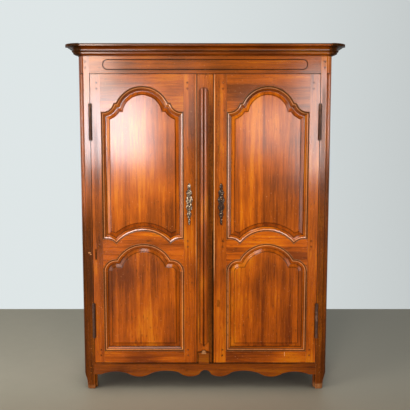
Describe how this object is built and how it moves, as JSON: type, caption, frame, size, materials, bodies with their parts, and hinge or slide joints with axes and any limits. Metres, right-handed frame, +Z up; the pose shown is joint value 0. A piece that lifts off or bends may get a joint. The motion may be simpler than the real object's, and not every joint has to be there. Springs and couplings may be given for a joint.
{
  "type": "two-door armoire",
  "caption": "Tall French provincial armoire: arched fielded-panel doors on long pin hinges, reeded centre stile, rounded fluted posts, moulded cornice, scalloped apron, shelves inside.",
  "frame": {"origin": "middle of the footprint of the feet and cornice, on the floor", "axes": "+Z up, +X to the viewer's right when the doors are faced, -Y towards the viewer"},
  "size_m": [1.614, 0.672, 2.05],
  "materials": {
    "show_wood": "satin",
    "inner_wood": "matte",
    "iron": "satin",
    "brass": "satin"
  },
  "bodies": {
    "carcase": {"apron_rail": "show_wood", "back_boards": "inner_wood", "back_rail_bottom": "inner_wood", "back_rail_middle": "inner_wood", "back_rail_top": "inner_wood", "ceiling_boards": "inner_wood", "centre_reeds": "show_wood", "centre_stile": "show_wood", "cornice_front": "show_wood", "cornice_left": "show_wood", "cornice_rear_rail": "inner_wood", "cornice_right": "show_wood", "floor_boards": "inner_wood", "frieze_rail": "show_wood", "hinge_pins_left": "iron", "hinge_pins_right": "iron", "lock_keep_left": "iron", "lock_keep_right": "iron", "post_front_left": "show_wood", "post_front_right": "show_wood", "post_rear_left": "inner_wood", "post_rear_right": "inner_wood", "shelf_cleats_left": "inner_wood", "shelf_cleats_right": "inner_wood", "shelf_lower": "inner_wood", "shelf_middle": "inner_wood", "shelf_upper": "inner_wood", "side_panel_lower_left": "show_wood", "side_panel_lower_right": "show_wood", "side_panel_upper_left": "show_wood", "side_panel_upper_right": "show_wood", "side_rail_bottom_left": "show_wood", "side_rail_bottom_right": "show_wood", "side_rail_middle_left": "show_wood", "side_rail_middle_right": "show_wood", "side_rail_top_left": "show_wood", "side_rail_top_right": "show_wood", "stile_base_block": "show_wood"},
    "door_left": {"door_left_bottom_rail": "show_wood", "door_left_escutcheon": "brass", "door_left_hinge_sleeves": "iron", "door_left_hinge_stile": "show_wood", "door_left_lock_case": "iron", "door_left_lock_stile": "show_wood", "door_left_lower_panel": "show_wood", "door_left_middle_rail": "show_wood", "door_left_top_rail": "show_wood", "door_left_upper_panel": "show_wood"},
    "door_right": {"door_right_bottom_rail": "show_wood", "door_right_escutcheon": "brass", "door_right_hinge_sleeves": "iron", "door_right_hinge_stile": "show_wood", "door_right_lock_case": "iron", "door_right_lock_stile": "show_wood", "door_right_lower_panel": "show_wood", "door_right_middle_rail": "show_wood", "door_right_top_rail": "show_wood", "door_right_upper_panel": "show_wood"},
    "bolt_left": {"lock_bolt_left": "iron"},
    "bolt_right": {"lock_bolt_right": "iron"}
  },
  "joints": [
    {"name": "door_left_hinge", "type": "hinge", "parent": "carcase", "child": "door_left", "pos_m": [-0.6685, -0.2723, 1], "axis": [0, 0, -1], "range_deg": [0, 170]},
    {"name": "door_right_hinge", "type": "hinge", "parent": "carcase", "child": "door_right", "pos_m": [0.6685, -0.2723, 1], "axis": [0, 0, 1], "range_deg": [0, 170]},
    {"name": "bolt_left_slide", "type": "slide", "parent": "door_left", "child": "bolt_left", "axis": [1, 0, 0], "range_m": [0, 0.015]},
    {"name": "bolt_right_slide", "type": "slide", "parent": "door_right", "child": "bolt_right", "axis": [-1, 0, 0], "range_m": [0, 0.015]}
  ]
}
